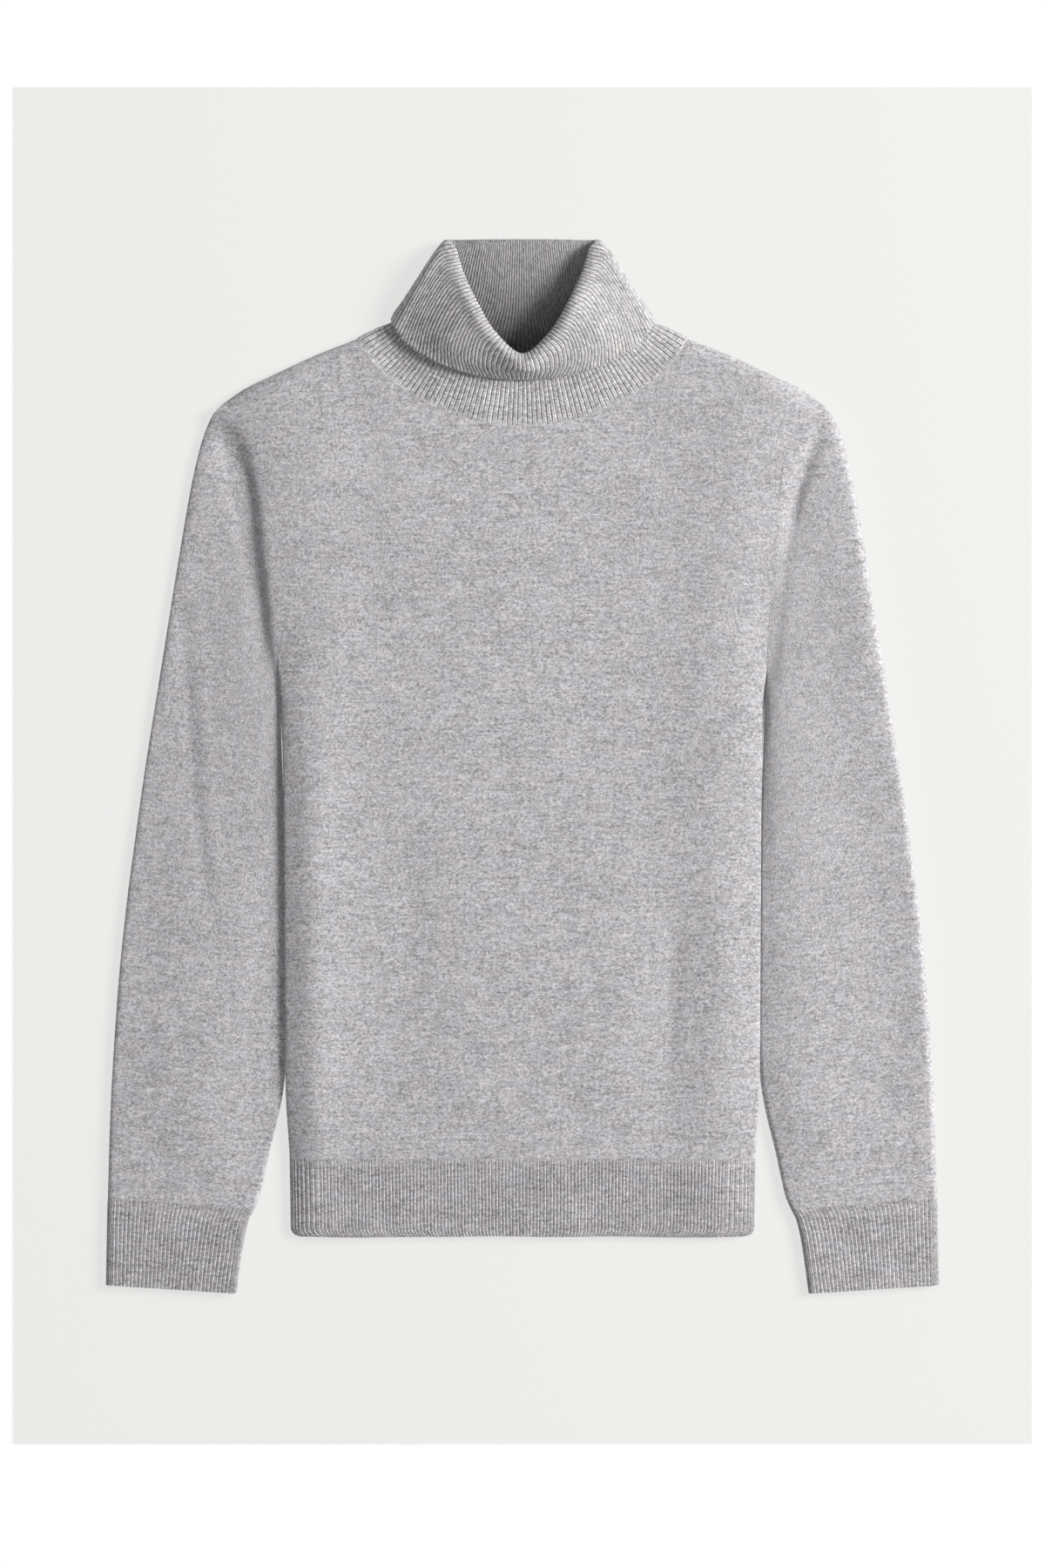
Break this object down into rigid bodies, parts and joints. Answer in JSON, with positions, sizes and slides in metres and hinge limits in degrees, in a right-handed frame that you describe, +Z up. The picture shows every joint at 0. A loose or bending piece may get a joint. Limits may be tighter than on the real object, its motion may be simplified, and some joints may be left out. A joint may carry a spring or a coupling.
{
  "type": "turtleneck sweater",
  "caption": "Fine-knit turtleneck sweater laid flat: jersey front, back and sleeves, ribbed hem and cuffs, and a folded-down ribbed roll collar.",
  "frame": {"origin": "bottom centre of the box round the sweater, on the surface it lies on", "axes": "Z is up off the surface, +Y points from the hem to the collar, and +X points to the right as seen from above with the collar away from the viewer."},
  "size_m": [0.621, 0.7866, 0.0365],
  "materials": {
    "jersey": "fine heathered plain knit, matt",
    "rib": "fine heathered rib knit, matt"
  },
  "bodies": {
    "root": {"body_front": "jersey", "body_back": "jersey", "sleeve_left": "jersey", "sleeve_right": "jersey", "hem_rib_front": "rib", "hem_rib_back": "rib", "cuff_left": "rib", "cuff_right": "rib", "roll_collar": "rib"}
  },
  "joints": []
}
